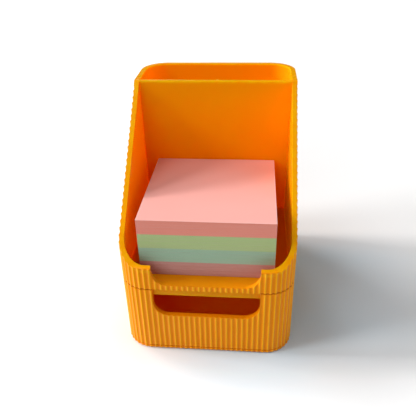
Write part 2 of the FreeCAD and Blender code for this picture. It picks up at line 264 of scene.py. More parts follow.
@dataclass(frozen=True)
class MouldedPlastic:
    """Satin injection-moulded plastic, coloured through, whose thin walls let red light through.

    Shares are factors: an even one first, then ones that follow the hollows or a noise. Other pairs
    are soft steps, from where one starts to where it is complete: in levels of the noise for
    flow_band, mottle_band and rim_mottle, and in mm for the rest. The relief's height and the
    wall's depth are in metres. Some light and shade is painted on: a highlight on the crests and,
    with some wear, along the rim; shade in the hollows and, with some soiling, along the seam; and
    an emission on the inner faces, a glow for more of the light that comes through the walls.
    """

    name: str
    colour: Colour = (0.99, 0.325, 0.001)
    deep: Colour = (0.97, 0.295, 0.001)
    # Painted shade in the flutes' hollows
    hollow: Colour = (0.93, 0.27, 0.0)
    # Painted highlight on the flutes' crests, standing in for the sheen they catch
    crest_highlight: Colour = (0.999, 0.48, 0.002)
    # Painted shade along the seam above the drawer, with some soiling
    seam_shade_and_grime: Colour = (0.60, 0.12, 0.0)
    # Painted highlight along the rim, in patches like rubbed wear
    rim_highlight_and_wear: Colour = (0.999, 0.54, 0.006)
    sheen_tint: Colour = (1.0, 0.6, 0.0)
    refraction: float = 1.49
    roughness: float = 0.33
    flow: Noise = Noise(14.0, 3.0, 0.55, (1.0, 1.0, 0.5))
    flow_band: Flat = (0.35, 0.75)
    flow_share: float = 0.35
    mottle: Noise = Noise(160.0, 4.0, 0.6)
    mottle_band: Flat = (0.55, 0.8)
    mottle_share: float = 0.16
    grain: Noise = Noise(2600.0, 2.0, 0.6)
    grain_roughness: float = 0.05
    smear: Noise = Noise(38.0, 5.0, 0.65, (1.0, 1.0, 0.35))
    smear_roughness: float = 0.14
    relief_shares: Flat = (0.6, 0.4)
    relief_height: float = 0.00003
    relief_strength: float = 0.5
    crest_highlight_shares: Flat = (0.75, 0.4)
    crest_highlight_band: Flat = (0.02, 0.38)
    hollow_shade_band: tuple[Flat, Flat] = ((0.25, 0.6), (0.6, 0.9))
    seam: float = 45.65
    seam_shares: Point = (0.4, 0.2, 0.4)
    seam_band: Flat = (0.2, 0.75)
    seam_depth: Flat = (1.0, 1.6)
    seam_from: Flat = (29.0, 31.0)
    seam_until: Flat = (-47.5, -46.0)
    rim_band: Flat = (0.3, 1.6)
    rim_mottle: Flat = (0.2, 0.7)
    rim_share: float = 0.6
    rim_polish: float = 0.06
    slot_start: Flat = (25.0, 26.0)
    flank_start: Flat = (45.8, 46.4)
    flank_bottom: Flat = (45.0, 48.0)
    wall_start: Flat = (2.8, 3.08)
    # Painted glow: emission colours of the inner faces, which stand in for light that comes through the
    # walls
    through: Colour = (0.10, 0.002, 0.0)
    painted_glow_flank: Colour = (0.14, 0.06, 0.0)
    painted_glow_slot: Colour = (0.55, 0.195, 0.0)
    painted_glow_level: float = 0.2
    wall_share: float = 0.8
    wall_depth: float = 0.012
    wall_radius: Point = (1.0, 0.45, 0.02)

    def shaders(self, graph: Graph, colour: Sock, roughness: Sock, relief: Sock,
                through: Sock) -> list[Sock]:
        """Principled shaders for the outer skin and for the inner faces.

        Args:
            graph: the material's graph.
            colour: base colour.
            roughness: roughness.
            relief: bent normal.
            through: colour of the painted glow on the inner faces, which stands in for light that
            comes through the walls.

        Returns:
            The two shaders.
        """
        skin = {"Base Color": colour, "Roughness": roughness, "Normal": relief,
                "IOR": self.refraction, "Specular Tint": (*self.sheen_tint, 1.0)}
        wall = {"Subsurface Weight": self.wall_share, "Subsurface Radius": self.wall_radius,
                "Subsurface Scale": self.wall_depth, "Emission Color": through,
                "Emission Strength": self.painted_glow_level}
        return [graph.node("ShaderNodeBsdfPrincipled", inputs=sockets)
                for sockets in (skin, {**skin, **wall})]

    def material(self, rim_slope: tuple[float, float, float] | None = None) -> bpy.types.Material:
        """Builds the finish.

        Args:
            rim_slope: level of the rim at y = 0, its rise per mm of y, and its highest level, where
            the piece has a rim that carries a painted highlight and a rubbed, smoother finish.

        Returns:
            The material.
        """
        material, graph = new_material(self.name)
        flow = graph.noise(self.flow)
        mottle = graph.noise(self.mottle)
        grain = graph.noise(self.grain)
        smear = graph.noise(self.smear)
        inset = self.inset(graph)
        colour = graph.mix(flow.smooth(*self.flow_band) * self.flow_share, self.colour, self.deep)
        colour = graph.mix(mottle.smooth(*self.mottle_band) * self.mottle_share, colour, self.deep)
        # Painted shade: the flutes' hollows are darkened where shade falls in them
        into_hollow, past_hollow = self.hollow_shade_band
        hollow_shade_mask = inset.smooth(*into_hollow) * (1 - inset.smooth(*past_hollow))
        colour = graph.mix(hollow_shade_mask, colour, self.hollow)
        # Painted highlight: the crests are lightened where a glossy sheen would light them
        evenly, by_mottle = self.crest_highlight_shares
        crest_highlight_mask = (1 - inset.smooth(*self.crest_highlight_band)) * (evenly + mottle * by_mottle)
        colour = graph.mix(crest_highlight_mask.limit(), colour, self.crest_highlight)
        across, along, level = graph.axes()
        # Painted shade along the seam between housing and drawer, with some soiling, stronger in the
        # hollows
        seam_shade_and_dirt = (1 - abs(level - self.seam).smooth(*self.seam_band)) * (1 - inset.smooth(*self.seam_depth))
        seam_shade_and_dirt = seam_shade_and_dirt * abs(across).smooth(*self.seam_from) * (1 - along.smooth(*self.seam_until))
        evenly, by_hollow, by_mottle = self.seam_shares
        seam_shade_and_dirt = seam_shade_and_dirt * (evenly + hollow_shade_mask * by_hollow + mottle * by_mottle).limit()
        colour = graph.mix(seam_shade_and_dirt, colour, self.seam_shade_and_grime)
        roughness = self.roughness + (smear - 0.5) * self.smear_roughness
        roughness = roughness + (grain - 0.5) * self.grain_roughness
        if rim_slope:
            start, rise, highest = rim_slope
            rim = (along * rise + start).lowest(highest)
            # Painted highlight along the rim, patchy like rubbed wear; the rim is also made smoother there
            near = (1 - abs(level - rim).smooth(*self.rim_band)) * mottle.smooth(*self.rim_mottle)
            colour = graph.mix(near * self.rim_share, colour, self.rim_highlight_and_wear)
            roughness = roughness - near * self.rim_polish
        by_grain, by_mottle = self.relief_shares
        height = grain * by_grain + mottle * by_mottle
        relief = graph.bump(height, self.relief_height, self.relief_strength)
        roughness.limit()
        # Painted glow on the inner faces, brighter on the side walls and brightest in the pen slot
        flank = abs(across).smooth(*self.flank_start) * level.smooth(*self.flank_bottom)
        through = graph.mix(flank, self.through, self.painted_glow_flank)
        through = graph.mix(along.smooth(*self.slot_start), through, self.painted_glow_slot)
        skin, wall = self.shaders(graph, colour, roughness, relief, through)
        graph.surface(graph.node("ShaderNodeMixShader", inputs={
            0: inset.smooth(*self.wall_start), 1: skin, 2: wall}))
        return material

    def inset(self, graph: Graph) -> Sock:
        """How far a point lies in from the crests of the flutes, in mm, as far as the corners' radius.

        Args:
            graph: the material's graph.

        Returns:
            The inset.
        """
        across, along, _ = graph.axes()
        side = (abs(across) - (OUTLINE.width / 2 - OUTLINE.corner)).highest(0.0)
        ahead = (abs(along) - (OUTLINE.depth / 2 - OUTLINE.corner)).highest(0.0)
        return OUTLINE.corner - (side * side + ahead * ahead).maths("SQRT")


@dataclass(frozen=True)
class FoamFinish:
    """Dense black foam of the stick-on feet, with cells per metre and its relief's height in metres."""

    name: str
    colour: Colour = (0.022, 0.022, 0.023)
    dusty: Colour = (0.08, 0.078, 0.075)
    cells: float = 2400.0
    dust: Noise = Noise(420.0, 4.0, 0.6)
    dust_band: Flat = (0.5, 0.75)
    dust_share: float = 0.6
    roughness: float = 0.82
    dust_roughness: float = 0.1
    relief_height: float = 0.00008
    relief_strength: float = 0.8

    def material(self) -> bpy.types.Material:
        """Builds the finish.

        Returns:
            The material.
        """
        material, graph = new_material(self.name)
        cells = graph.node("ShaderNodeTexVoronoi", inputs={"Vector": graph.place(), "Scale": self.cells})
        dust = graph.noise(self.dust)
        colour = graph.mix(dust.smooth(*self.dust_band) * self.dust_share, self.colour, self.dusty)
        roughness = self.roughness + dust * self.dust_roughness
        relief = graph.bump(cells, self.relief_height, self.relief_strength)
        graph.surface(graph.node("ShaderNodeBsdfPrincipled", inputs={
            "Base Color": colour, "Roughness": roughness, "Normal": relief}))
        return material


class PaperColour(Enum):
    """Colours of the memo pads, bottom to top: the top of a sheet, and its cut edge."""

    ROSE = ("rose", (0.86, 0.42, 0.40), (0.58, 0.30, 0.265))
    BLUE = ("blue", (0.40, 0.76, 0.66), (0.36, 0.57, 0.41))
    GREEN = ("green", (0.52, 0.80, 0.42), (0.47, 0.625, 0.285))
    PINK = ("pink", (0.95, 0.465, 0.415), (0.89, 0.32, 0.25))


@dataclass(frozen=True)
class PaperFinish:
    """Uncoated coloured paper, with fibres on its face and cut marks on its edges.

    Each band is a soft step, from where it starts to where it is complete. The lighter band along
    the sheets' edges is a painted highlight; it is in mm, and the relief's height in metres.
    """

    name: str
    face: Colour
    edge: Colour
    # Painted highlight along the sheets' top edges
    border_highlight: Colour = (0.97, 0.72, 0.66)
    border_half: float = 37.5
    border_middle: float = -15.1
    border_highlight_band: Flat = (0.0, 0.35)
    border_highlight_share: float = 0.7
    fibres: Noise = Noise(3200.0, 3.0, 0.7, (1.0, 0.35, 1.0))
    fibre_roughness: float = 0.12
    cloud: Noise = Noise(60.0, 3.0, 0.55)
    cloud_band: Flat = (0.35, 0.8)
    cloud_share: float = 0.06
    leaves: Noise = Noise(300.0, 3.0, 0.75, (0.12, 0.12, 26.0))
    leaf_band: Flat = (0.35, 0.7)
    leaf_share: float = 0.16
    leaf_shade: float = 0.82
    cut: Noise = Noise(900.0, 2.0, 0.6, (1.0, 1.0, 0.04))
    side_band: Flat = (0.3, 0.7)
    roughness: float = 0.74
    sheen: float = 0.25
    relief_shares: Point = (0.5, 0.45, 0.25)
    relief_height: float = 0.00005
    relief_strength: float = 0.6

    def material(self) -> bpy.types.Material:
        """Builds the finish.

        Returns:
            The material.
        """
        material, graph = new_material(self.name)
        fibres = graph.noise(self.fibres)
        cloud = graph.noise(self.cloud)
        leaves = graph.noise(self.leaves)
        cut = graph.noise(self.cut)
        upright = graph.node("ShaderNodeSeparateXYZ", inputs={
            0: graph.node("ShaderNodeTexCoord", out="Normal")}, out=2)
        side = 1 - abs(upright).smooth(*self.side_band)
        darker = tuple(channel * self.leaf_shade for channel in self.edge)
        edge = graph.mix(leaves.smooth(*self.leaf_band) * self.leaf_share, self.edge, darker)
        face = graph.mix(cloud.smooth(*self.cloud_band) * self.cloud_share, self.face, self.edge)
        across, along, _ = graph.axes()
        # Painted highlight: the face lightens in a thin band along the sheet's edges
        past = (abs(across) - self.border_half).highest(abs(along - self.border_middle) - self.border_half)
        face = graph.mix(past.smooth(*self.border_highlight_band) * self.border_highlight_share, face, self.border_highlight)
        colour = graph.mix(side, face, edge)
        by_fibre, by_leaf, by_cut = self.relief_shares
        height = fibres * by_fibre + leaves * side * by_leaf + cut * side * by_cut
        relief = graph.bump(height, self.relief_height, self.relief_strength)
        graph.surface(graph.node("ShaderNodeBsdfPrincipled", inputs={
            "Base Color": colour, "Roughness": self.roughness + fibres * self.fibre_roughness,
            "Normal": relief, "Specular IOR Level": self.sheen}))
        return material


@dataclass(frozen=True)
class FloorFinish:
    """Plain white studio floor, which keeps the shadow and stays neutral beside the orange body.

    Shares are factors. Other pairs are soft steps in mm, from where one starts to where it is
    complete. The tint near the body is painted: it takes the orange light that bounces off the
    body back out of the floor. The emission at the open left side takes the floor up to white, and
    in front of the body it is painted light that lifts the shade there.
    """

    name: str = "studio_floor"
    seen: float = 1.0
    bounced: float = 0.82
    clouds: Noise = Noise(3.0)
    unevenness: float = 0.004
    roughness: float = 0.9
    # Painted tint that takes the orange light bouncing off the body back out of the floor near it
    bounce_cancel_tint: Colour = (0.46, 0.18, 0.0)
    calm_reach: float = 0.6
    calm_shares: Point = (0.7, 0.3, 0.5)
    calm_fade: Flat = (-30.0, 90.0)
    calm_across: Flat = (-60.0, 20.0)
    calm_behind: Flat = (30.0, 75.0)
    calm_beside: Flat = (-80.0, -30.0)
    calm_corner: Flat = (20.0, 80.0)
    # Emission seen by the camera: it takes the open left side up to white, and paints light into the shade
    # in front of the body
    painted_floor_glow: float = 0.26
    lift_shares: Flat = (0.6, 0.5)
    lift_left: Flat = (-75.0, -45.0)
    lift_front: Flat = (-105.0, -64.0)
    lift_right: Flat = (20.0, 110.0)

    def material(self) -> bpy.types.Material:
        """Builds the finish.

        Returns:
            The material.
        """
        material, graph = new_material(self.name)
        path = graph.node("ShaderNodeLightPath", out="Is Camera Ray")
        glossy = Sock(graph, path.socket.node.outputs["Is Glossy Ray"])
        seen = path.highest(glossy)
        plain = seen * (self.seen - self.bounced) + (self.bounced - self.unevenness)
        tone = graph.noise(self.clouds) * self.unevenness + plain
        across, along, _ = graph.axes()
        # Painted tint: near the body's shaded side the floor loses red and green, taking the orange bounce
        # light out of the shadow
        side = (abs(across) - OUTLINE.width / 2).highest(0.0) * self.calm_reach
        ahead = (abs(along) - OUTLINE.depth / 2).highest(0.0)
        near = 1 - (side * side + ahead * ahead).maths("SQRT").smooth(*self.calm_fade)
        near = near * across.smooth(*self.calm_across) * (1 - along.smooth(*self.calm_behind)) * seen
        beside = along.smooth(*self.calm_beside)
        evenly, by_side, by_corner = self.calm_shares
        corner = across.smooth(*self.calm_corner) * (1 - beside)
        near = near * (evenly + beside * by_side - corner * by_corner)
        colour = graph.node("ShaderNodeCombineColor", inputs={
            i: tone * (1 - near * share) for i, share in enumerate(self.bounce_cancel_tint)})
        # Emission seen by the camera: white at the open left side, painted light over the shade in front of
        # the body
        at_left, off_right = self.lift_shares
        open_side = (1 - across.smooth(*self.lift_left)) * at_left
        right = across.smooth(*self.lift_right) * off_right
        open_front = (1 - along.smooth(*self.lift_front)) * (1 - right)
        painted_floor_glow = open_side.highest(open_front) * path
        glow = graph.node("ShaderNodeCombineColor", inputs={0: painted_floor_glow, 1: painted_floor_glow, 2: painted_floor_glow})
        graph.surface(graph.node("ShaderNodeBsdfPrincipled", inputs={
            "Base Color": colour, "Roughness": self.roughness, "Specular IOR Level": 0.0,
            "Emission Color": glow, "Emission Strength": self.painted_floor_glow}))
        return material


def put_mesh(name: str, shape: bmesh.types.BMesh) -> bpy.types.Object:
    """Puts a bmesh into the scene as an object, and lets the bmesh go.

    Args:
        name: the object's name.
        shape: the bmesh.

    Returns:
        The object.
    """
    mesh = bpy.data.meshes.new(name)
    shape.to_mesh(mesh)
    shape.free()
    made = bpy.data.objects.new(name, mesh)
    bpy.context.scene.collection.objects.link(made)
    return made


def add_mesh(name: str, build: Callable[[bmesh.types.BMesh], None]) -> bpy.types.Object:
    """Makes a mesh object in the scene.

    Args:
        name: the object's name.
        build: fills an empty bmesh, in metres.

    Returns:
        The object.
    """
    shape = bmesh.new()
    build(shape)
    return put_mesh(name, shape)


def dress(piece: bpy.types.Object, material: bpy.types.Material) -> bpy.types.Object:
    """Gives a piece its one material.

    Args:
        piece: the piece.
        material: its material.

    Returns:
        The piece.
    """
    piece.data.materials.clear()
    piece.data.materials.append(material)
    return piece


@dataclass(frozen=True)
class Outline:
    """Rounded rectangle of the plan, with the flutes that run round it, in mm."""

    width: float = 99.4
    depth: float = 126.8
    corner: float = 15.9
    pitch: float = 3.03
    groove: float = 0.6
    crest_radius: float = 0.35
    shift: float = 0.6
    crest_steps: int = 4
    hollow_steps: int = 8
    corner_steps: int = 22

    def length(self) -> float:
        """Length of the outline at the crests."""
        return 2 * (self.width + self.depth) - (8 - 2 * math.pi) * self.corner

    def point(self, distance: float, depth: float) -> Flat:
        """Point on the outline.

        Args:
            distance: distance along it from the front's middle, in mm.
            depth: how far it is sunk in from the crests.

        Returns:
            The point in plan.
        """
        front = self.width - 2 * self.corner
        side = self.depth - 2 * self.corner
        bend = math.pi * self.corner / 2
        rest = (distance + front / 2) % self.length()
        angle = 0.0
        centre = Vector((-front / 2, -side / 2))
        for straight in (front, side, front, side):
            along = Vector((math.cos(angle), math.sin(angle)))
            out = Vector((math.sin(angle), -math.cos(angle)))
            if rest <= straight:
                return tuple(centre + along * rest + out * (self.corner - depth))
            rest -= straight
            centre = centre + along * straight
            if rest <= bend:
                turned = angle + rest / self.corner
                out = Vector((math.sin(turned), -math.cos(turned)))
                return tuple(centre + out * (self.corner - depth))
            rest -= bend
            angle += math.pi / 2
        return tuple(centre + out * (self.corner - depth))

    def plain(self, inset: float) -> list[Flat]:
        """Corners of the outline drawn in by an inset, counter-clockwise.

        Args:
            inset: distance in from the crests, in mm.

        Returns:
            The points in plan.
        """
        points = []
        radius = self.corner - inset
        for turn, (sx, sy) in enumerate(((1, -1), (1, 1), (-1, 1), (-1, -1))):
            cx = sx * (self.width / 2 - self.corner)
            cy = sy * (self.depth / 2 - self.corner)
            for step in range(self.corner_steps + 1):
                angle = (turn - 1 + step / self.corner_steps) * math.pi / 2
                points.append((cx + radius * math.cos(angle), cy + radius * math.sin(angle)))
        return points

    def inset_of(self, x: float, y: float) -> float:
        """How far a point in plan lies in from the crests.

        Args:
            x: its place across, in mm.
            y: its place along.

        Returns:
            The inset, below 0 for a point outside.
        """
        side = abs(x) - (self.width / 2 - self.corner)
        ahead = abs(y) - (self.depth / 2 - self.corner)
        out = math.hypot(max(side, 0.0), max(ahead, 0.0)) + min(max(side, ahead), 0.0)
        return self.corner - out

    def fluted(self) -> list[tuple[Flat, Flat]]:
        """Points of the flutes, each with its fellow well outside the body.

        Returns:
            Pairs of points in plan: on the flutes, and beyond the crests.
        """
        count = round(self.length() / self.pitch)
        pitch = self.length() / count
        both = ((pitch / 2) ** 2 + self.groove ** 2) / (2 * self.groove)
        hollow = both - self.crest_radius
        lean = math.asin(pitch / 2 / both)
        offsets = []
        for step in range(self.crest_steps):
            angle = (2 * step / self.crest_steps - 1) * lean
            offsets.append((self.crest_radius * math.sin(angle), self.crest_radius * (1 - math.cos(angle))))
        for step in range(self.hollow_steps):
            angle = (2 * step / self.hollow_steps - 1) * lean
            depth = self.groove - hollow * (1 - math.cos(angle))
            offsets.append((pitch / 2 + hollow * math.sin(angle), depth))
        pairs = []
        for number in range(count):
            start = number * pitch - self.shift
            for along, depth in offsets:
                pairs.append((self.point(start + along, depth), self.point(start + along, -BEYOND)))
        return pairs


OUTLINE = Outline()


class Axis(Enum):
    """The axis that a prism runs along, by its number in a point."""

    X = 0
    Y = 1
    Z = 2

    def point(self, place: Flat, level: float) -> Point:
        """The point at a place in the prism's section and a level along its axis."""
        return (*place[:self.value], level, *place[self.value:])


class Carving(Enum):
    """What a solid does with another one."""

    CUT = "DIFFERENCE"
    JOIN = "UNION"
    SHARE = "INTERSECT"


class Solid:
    """A closed mesh in mm that other closed meshes cut, join or share. Its angles are in radians."""

    weld = 0.002
    flat_angle = 0.001
    sharp_angle = 0.5

    def __init__(self, shape: bmesh.types.BMesh) -> None:
        """Keeps the bmesh."""
        self.shape = shape

    @classmethod
    def prism(cls, loop: Sequence[Flat], low: float, high: float, along: Axis = Axis.Z) -> Solid:
        """Extrudes a closed loop.

        Args:
            loop: points in order: (x, y) for an upright prism, (y, z) for one along x and (x, z)
                for one along y.
            low: where it starts along its axis.
            high: where it ends.
            along: its axis.

        Returns:
            The prism.
        """
        shape = bmesh.new()
        start = [shape.verts.new(along.point(place, low)) for place in loop]
        end = [shape.verts.new(along.point(place, high)) for place in loop]
        shape.faces.new(start)
        shape.faces.new(end)
        for i, vert in enumerate(start):
            j = (i + 1) % len(start)
            shape.faces.new((vert, start[j], end[j], end[i]))
        bmesh.ops.recalc_face_normals(shape, faces=shape.faces)
        return cls(shape)

    @classmethod
    def box(cls, x0: float, x1: float, y0: float, y1: float, z0: float, z1: float) -> Solid:
        """A block between two corners."""
        return cls.prism(((x0, y0), (x1, y0), (x1, y1), (x0, y1)), z0, z1)

    @classmethod
    def slab(cls, y0: float, y1: float, z0: float = -BEYOND, z1: float = CLEAR_Z) -> Solid:
        """A block that is wider than the body."""
        return cls.box(-CLEAR_X, CLEAR_X, y0, y1, z0, z1)

    @classmethod
    def sleeve(cls, pairs: Sequence[tuple[Flat, Flat]], low: float, high: float) -> Solid:
        """An upright ring.

        Args:
            pairs: inner and outer points in plan, in order.
            low: its bottom.
            high: its top.

        Returns:
            The ring.
        """
        shape = bmesh.new()
        rings = []
        for which, level in ((0, low), (0, high), (1, high), (1, low)):
            rings.append([shape.verts.new((*pair[which], level)) for pair in pairs])
        for ring, following in zip(rings, rings[1:] + rings[:1]):
            for i, vert in enumerate(ring):
                j = (i + 1) % len(ring)
                shape.faces.new((vert, ring[j], following[j], following[i]))
        bmesh.ops.recalc_face_normals(shape, faces=shape.faces)
        return cls(shape)

    def object(self, name: str, scale: float = 1.0) -> bpy.types.Object:
        """Puts the solid into the scene and lets its bmesh go.

        Args:
            name: the object's name.
            scale: factor on the lengths.

        Returns:
            The object.
        """
        bmesh.ops.scale(self.shape, vec=(scale, scale, scale), verts=self.shape.verts)
        return put_mesh(name, self.shape)

    def carve(self, way: Carving, *tools: Solid) -> Solid:
        """Cuts, joins or shares with other solids, one after the other.

        Args:
            way: which of the three.
            tools: the other solids, which are used up.

        Returns:
            This solid.
        """
        body = self.object("carved")
        helpers = []
        for tool in tools:
            helper = tool.object("tool")
            modifier = body.modifiers.new("carve", "BOOLEAN")
            modifier.operation = way.value
            modifier.solver = "EXACT"
            modifier.object = helper
            helpers.append(helper)
        graph = bpy.context.evaluated_depsgraph_get()
        self.shape = bmesh.new()
        self.shape.from_mesh(bpy.data.meshes.new_from_object(body.evaluated_get(graph)))
        for used in [body, *helpers]:
            mesh = used.data
            bpy.data.objects.remove(used)
            bpy.data.meshes.remove(mesh)
        return self

    def cut(self, *tools: Solid) -> Solid:
        """Cuts other solids out."""
        return self.carve(Carving.CUT, *tools)

    def join(self, *tools: Solid) -> Solid:
        """Joins other solids on."""
        return self.carve(Carving.JOIN, *tools)

    def share(self, *tools: Solid) -> Solid:
        """Keeps what lies in the other solids too."""
        return self.carve(Carving.SHARE, *tools)

    def tidy(self) -> Solid:
        """Welds loose doubles and drops edges that part one flat face.

        Returns:
            This solid.
        """
        bmesh.ops.remove_doubles(self.shape, verts=self.shape.verts, dist=self.weld)
        bmesh.ops.dissolve_limit(self.shape, angle_limit=self.flat_angle, verts=self.shape.verts,
                                 edges=self.shape.edges)
        return self

    def ease(self, chosen: Callable[[Vector, Vector], bool], width: float, steps: int) -> Solid:
        """Rounds sharp edges.

        Args:
            chosen: says by an edge's two ends whether it is rounded.
            width: size of the rounding, in mm.
            steps: facets across it.

        Returns:
            This solid.
        """
        edges = []
        for edge in self.shape.edges:
            a, b = (vert.co for vert in edge.verts)
            sharp = len(edge.link_faces) == 2 and edge.calc_face_angle() > self.sharp_angle
            if sharp and chosen(a, b):
                edges.append(edge)
        bmesh.ops.bevel(self.shape, geom=edges, offset=width, offset_type="OFFSET", segments=steps,
                        profile=0.5, affect="EDGES", clamp_overlap=True)
        return self


def arc(cx: float, cy: float, radius: float, start: float, end: float, steps: int) -> list[Flat]:
    """Points on an arc.

    Args:
        cx: its middle's first coordinate.
        cy: its middle's second coordinate.
        radius: its radius.
        start: first angle, in degrees.
        end: last angle.
        steps: number of runs.

    Returns:
        The points.
    """
    points = []
    for step in range(steps + 1):
        angle = math.radians(start + (end - start) * step / steps)
        points.append((cx + radius * math.cos(angle), cy + radius * math.sin(angle)))
    return points


def circle(cx: float, cy: float, radius: float, count: int) -> list[Flat]:
    """Points all round a circle, one for each of its sides."""
    return arc(cx, cy, radius, 0, 360 - 360 / count, count - 1)


def notch(bottom: float) -> Solid:
    """Block that cuts a finger notch into the front wall, down to a level in mm.

    Args:
        bottom: the notch's lowest level.

    Returns:
        The cutting solid.
    """
    radius = 9.0
    through_wall = 3.7
    front = -OUTLINE.depth / 2
    loop = arc(radius - NOTCH_HALF, bottom + radius, radius, 180, 270, 12)
    loop += arc(NOTCH_HALF - radius, bottom + radius, radius, 270, 360, 12)
    loop += [(NOTCH_HALF, CLEAR_Z), (-NOTCH_HALF, CLEAR_Z)]
    return Solid.prism(loop, front - BEYOND, front + through_wall, Axis.Y)


@dataclass
class Housing:
    """The fluted body: compartment, pen slot, divider, floor and drawer bay, in mm."""

    wall: float = 3.1
    bottom: float = 2.4
    seam: float = 45.9
    floor: float = 48.9
    lip: float = 60.0
    top: float = 137.4
    divider_front: float = 23.7
    divider_back: float = 25.3
    slope_foot: float = -61.0
    slope_top: float = 24.5
    top_radius: float = 2.0
    foot_radius: float = 3.0
    lip_corner: float = 1.6
    outer_ease: float = 0.8
    inner_ease: float = 1.4
    divider_ease: float = 0.45
    band: float = 2.0
    wing_start: float = -47.1
    rail_inset: float = 3.5
    rail_back: float = -58.1
    rail_levels: Flat = (39.6, 46.4)
    gate_x: float = 1.6
    gate_radius: float = 0.8
    gate_height: float = 3.0
    snap_groove: Flat = (0.65, 10.3)

    def side_view(self) -> list[Flat]:
        """Side view of the body: level top, slope and level lip.

        Returns:
            Points (y, z).
        """
        angle = math.atan2(self.top - self.lip, self.slope_top - self.slope_foot)
        turn = math.degrees(angle)
        back = self.top_radius * math.tan(angle / 2)
        ahead = self.foot_radius * math.tan(angle / 2)
        bend = arc(self.slope_top + back, self.top - self.top_radius, self.top_radius, 90, 90 + turn, 6)
        foot = arc(self.slope_foot - ahead, self.lip + self.foot_radius, self.foot_radius,
                   270 + turn, 270, 8)
        ahead_of_lip = [(-CLEAR_Y, self.lip), (-CLEAR_Y, -BEYOND)]
        return [(CLEAR_Y, self.top), *bend, *foot, *ahead_of_lip, (CLEAR_Y, -BEYOND)]

    def hollows(self) -> list[Solid]:
        """The compartment, the pen slot, the bay and the opening for the drawer's wings.

        Returns:
            The solids to cut out.
        """
        loop = OUTLINE.plain(self.wall)
        memo = Solid.prism(loop, self.floor, self.top + BEYOND)
        memo.share(Solid.slab(-CLEAR_Y, self.divider_front))
        pens = Solid.prism(loop, self.floor, self.top + BEYOND)
        pens.share(Solid.slab(self.divider_back, CLEAR_Y))
        bay = Solid.prism(loop, -BEYOND, self.seam)
        wings = Solid.slab(-CLEAR_Y, self.wing_start, z1=self.seam)
        return [memo, pens, bay, wings]

    def at_lip_corner(self, a: Vector, b: Vector) -> bool:
        """True for an edge through the wall where the notch meets the lip.

        Args:
            a: one end of the edge.
            b: its other end.

        Returns:
            Whether the edge is one of them.
        """
        beside = max(abs(abs(p.x) - NOTCH_HALF) for p in (a, b)) < CLOSE
        through = abs(a.y - b.y) > CLOSE and a.y < FRONT_WALL
        return beside and through and min(a.z, b.z) > self.lip - CLOSE

    def on_line(self, a: Vector, b: Vector, inset: float) -> bool:
        """True for an edge of the rim or the notch that lies on the outline at an inset.

        Args:
            a: one end of the edge.
            b: its other end.
            inset: the outline's distance in from the crests, in mm.

        Returns:
            Whether the edge is one of them.
        """
        if max(abs(OUTLINE.inset_of(p.x, p.y) - inset) for p in (a, b)) > ON_LINE:
            return False
        if min(a.z, b.z) < self.floor - CLOSE:
            return False
        upright = abs(a.x - b.x) + abs(a.y - b.y) < CLOSE
        if upright:
            return abs(abs(a.x) - NOTCH_HALF) < ON_LINE and a.y < FRONT_WALL
        level_floor = max(a.z, b.z) < self.floor + CLOSE
        in_notch = max(abs(a.x), abs(b.x)) < NOTCH_HALF and a.y < FRONT_WALL
        return in_notch if level_floor and inset < self.wall / 2 else not level_floor

    def at_divider(self, a: Vector, b: Vector) -> bool:
        """True for the long edges along the divider's top.

        Args:
            a: one end of the edge.
            b: its other end.

        Returns:
            Whether the edge is one of them.
        """
        on_top = min(a.z, b.z) > self.top - self.top_radius
        return on_top and abs(a.x - b.x) > self.inner_ease and any(
            max(abs(a.y - y), abs(b.y - y)) < CLOSE for y in (self.divider_front, self.divider_back))

    def small_parts(self) -> list[Solid]:
        """The rail under the floor's front, and the gate mark behind the divider.

        Returns:
            The solids to join on.
        """
        rail = Solid.slab(-CLEAR_Y, self.rail_back, *self.rail_levels)
        rail.share(Solid.prism(OUTLINE.plain(self.rail_inset), 0.0, CLEAR_Z))
        loop = circle(self.gate_x, self.divider_back, self.gate_radius, 24)
        return [rail, Solid.prism(loop, self.top - self.gate_height, self.top)]

    def solid(self) -> Solid:
        """Carves the body.

        Returns:
            The body.
        """
        body = Solid.prism(OUTLINE.plain(0.0), self.bottom, self.top + BEYOND)
        body.share(Solid.prism(self.side_view(), -CLEAR_X, CLEAR_X, Axis.X))
        body.cut(*self.hollows(), notch(self.floor))
        body.tidy()
        body.ease(self.at_lip_corner, self.lip_corner, 6)
        body.ease(lambda a, b: self.on_line(a, b, 0.0), self.outer_ease, 4)
        body.ease(lambda a, b: self.on_line(a, b, self.wall), self.inner_ease, 5)
        body.ease(self.at_divider, self.divider_ease, 3)
        body.join(*self.small_parts())
        body.cut(*snap_bars(*self.snap_groove))
        body.cut(Solid.sleeve(OUTLINE.fluted(), -BEYOND, self.top - self.band))
        return body

    def build(self) -> list[bpy.types.Object]:
        """Builds and dresses the housing.

        Returns:
            Its one piece.
        """
        rise = (self.top - self.lip) / (self.slope_top - self.slope_foot)
        rim_slope = (self.lip - self.slope_foot * rise, rise, self.top)
        finish = MouldedPlastic("housing_plastic").material(rim_slope)
        return [moulding("housing_shell", self.solid(), "housing", "body", finish)]


def snap_bars(radius: float, length: float) -> list[Solid]:
    """Round bars along the inside of the skirt, two on each side.

    Args:
        radius: their radius, in mm.
        length: their length.

    Returns:
        The four bars.
    """
    across, along, level = 46.3, 32.0, 5.8
    bars = []
    for side in (-1, 1):
        for end in (-1, 1):
            loop = circle(side * across, level, radius, 16)
            middle = end * along
            bars.append(Solid.prism(loop, middle - length / 2, middle + length / 2, Axis.Y))
    return bars


